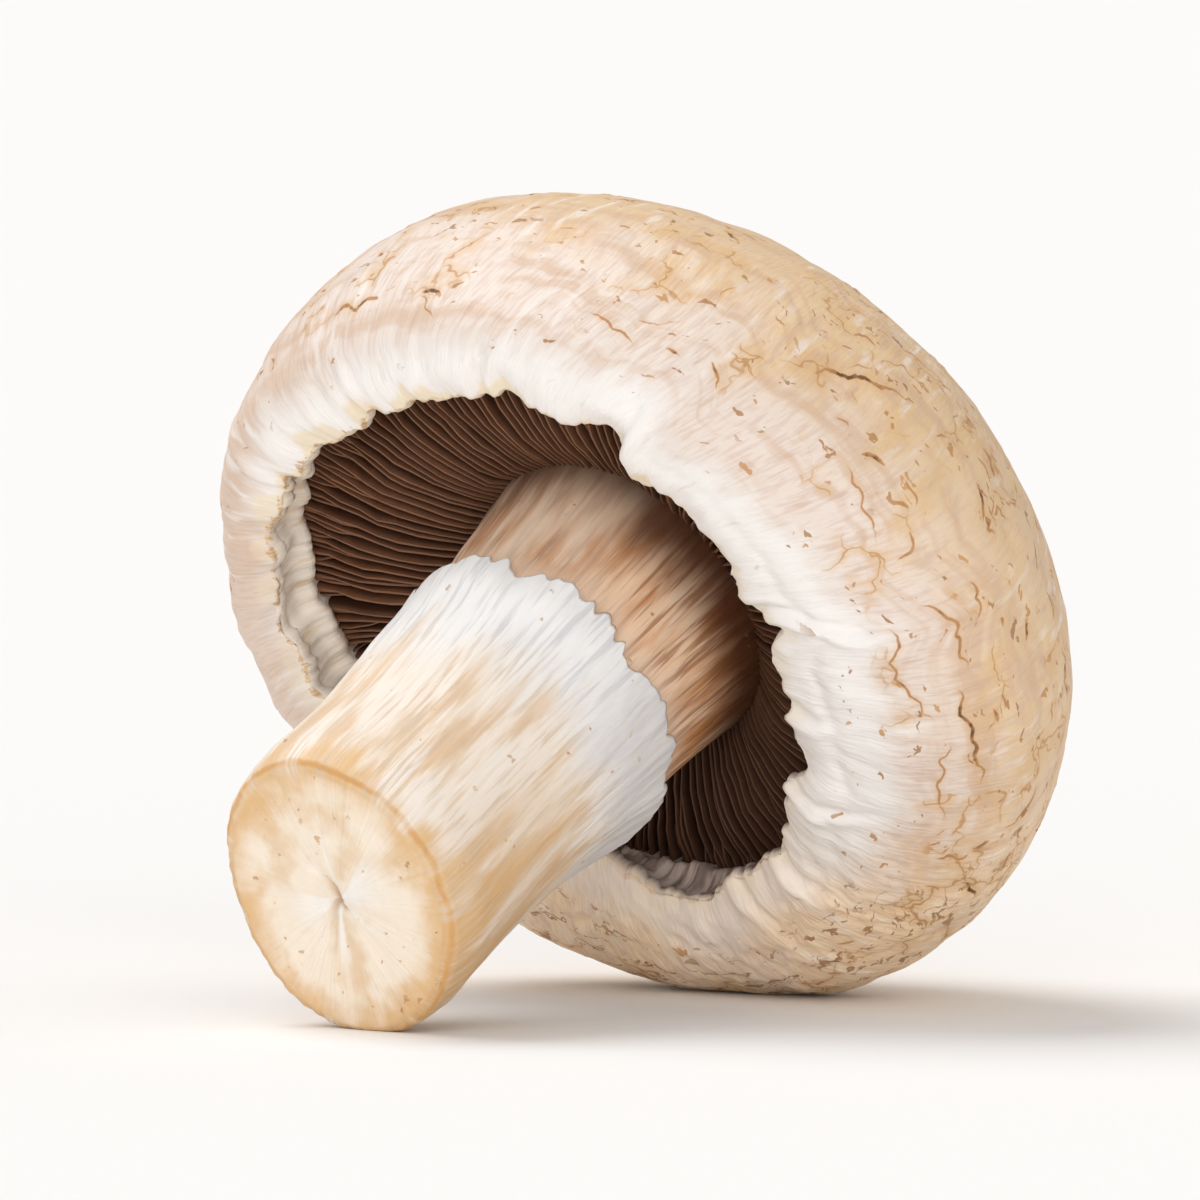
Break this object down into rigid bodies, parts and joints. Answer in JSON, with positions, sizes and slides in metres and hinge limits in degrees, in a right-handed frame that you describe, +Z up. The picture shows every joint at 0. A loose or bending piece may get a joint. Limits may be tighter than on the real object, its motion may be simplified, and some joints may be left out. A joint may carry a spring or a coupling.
{
  "type": "mushroom",
  "caption": "Picked button mushroom lying on its side, with a rolled-in torn cap margin, dark gills, and a pale sleeved stem cut at its foot",
  "frame": {"origin": "centre of the underside of the bounding box, on the surface that the mushroom lies on", "axes": "+X runs across the cap, +Y points from the cut stem towards the cap, and +Z points up"},
  "size_m": [0.0526, 0.05, 0.0462],
  "materials": {
    "cap": "matt cream skin over white flesh, cracked into fine brown scales and torn white at the margin",
    "gills": "matt dark brown, soft and slightly powdery",
    "stem": "matt cream fibres, brown above the white sleeve, ochre at the cut foot"
  },
  "bodies": {
    "root": {"cap": "cap", "gills": "gills", "stem": "stem"}
  },
  "joints": []
}
